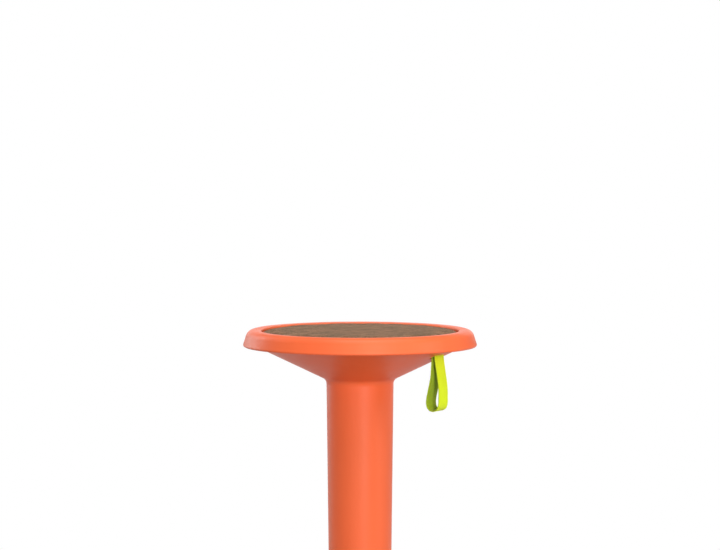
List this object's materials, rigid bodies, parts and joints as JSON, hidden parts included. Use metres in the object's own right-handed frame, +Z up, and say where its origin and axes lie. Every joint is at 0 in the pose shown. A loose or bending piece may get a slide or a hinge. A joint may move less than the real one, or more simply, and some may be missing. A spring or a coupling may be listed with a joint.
{
  "type": "height-adjustable active stool",
  "caption": "Round upholstered stool seat on a telescoping tapered column with a gas spring, a wide foot and a pull strap that frees the height adjustment.",
  "frame": {"origin": "on the floor at the column's axis, under the middle of the sole", "axes": "+Z up along the column; -Y faces the user; the pull strap hangs 31 degrees from +X towards -Y"},
  "size_m": [0.34, 0.34, 0.63],
  "materials": {
    "orange_shell": "fine satin moulded plastic",
    "pad_fabric": "melange wool-like weave",
    "pad_foam": "open foam",
    "pad_board": "pressed fibre board",
    "black_plastic": "fine satin",
    "natural_plastic": "smooth acetal",
    "black_steel": "powder coated",
    "zinc_steel": "zinc plated",
    "chrome_rod": "ground and chromed",
    "black_rubber": "matte",
    "lime_strap": "close woven webbing"
  },
  "bodies": {
    "base": {"base_shell": "orange_shell", "column_collar": "orange_shell", "base_plate": "black_steel", "base_hub": "black_steel", "stand_tube": "black_steel", "guide_bush": "natural_plastic", "bearing_lower_race": "zinc_steel", "bearing_cage": "natural_plastic", "bearing_balls": "chrome_rod", "bottom_pan": "black_plastic", "rubber_sole": "black_rubber", "base_screws": "zinc_steel", "pan_screws": "zinc_steel"},
    "lift_rod": {"piston_rod": "chrome_rod", "piston": "zinc_steel", "piston_seal": "black_rubber", "piston_nut": "zinc_steel", "rod_clip": "zinc_steel", "bump_stop": "black_rubber", "bearing_upper_race": "zinc_steel"},
    "seat": {"pad_cover": "pad_fabric", "pad_foam": "pad_foam", "pad_board": "pad_board", "pad_clips": "black_plastic", "seat_rim": "orange_shell", "seat_column": "orange_shell", "strap_guide": "orange_shell", "shell_screws": "zinc_steel", "column_glide": "black_plastic", "seat_plate": "black_steel", "plate_screws": "zinc_steel", "taper_socket": "black_steel", "lever_bracket": "zinc_steel", "pivot_pin": "zinc_steel", "pivot_clips": "zinc_steel", "gas_cylinder": "black_steel", "cylinder_gland": "natural_plastic", "rod_seal": "black_rubber", "valve_body": "zinc_steel"},
    "valve": {"valve_pin": "chrome_rod"},
    "lever": {"release_lever": "zinc_steel", "strap_pin": "zinc_steel"},
    "strap": {"pull_strap": "lime_strap"}
  },
  "joints": [
    {"name": "seat_swivel", "type": "hinge", "parent": "base", "child": "lift_rod", "pos_m": [0, 0, 0.03], "axis": [0, 0, 1], "continuous": true},
    {"name": "seat_height", "type": "slide", "parent": "lift_rod", "child": "seat", "axis": [0, 0, 1], "range_m": [-0.18, 0]},
    {"name": "release_lever", "type": "hinge", "parent": "seat", "child": "lever", "pos_m": [-0.03086, 0.01854, 0.605], "axis": [0.515, 0.8572, 0], "range_deg": [0, 2.4], "stiffness_Nm_per_rad": 5, "springref_deg": -17.19},
    {"name": "valve_press", "type": "slide", "parent": "seat", "child": "valve", "axis": [0, 0, -1], "range_m": [0, 0.0016]},
    {"name": "strap_swing", "type": "hinge", "parent": "lever", "child": "strap", "pos_m": [0.11117, -0.0668, 0.6125], "axis": [0.515, 0.8572, 0], "range_deg": [-6, 6]}
  ],
  "couplings": [
    {"joint": "valve_press", "follows": "release_lever", "m_per_rad": 0.036}
  ]
}
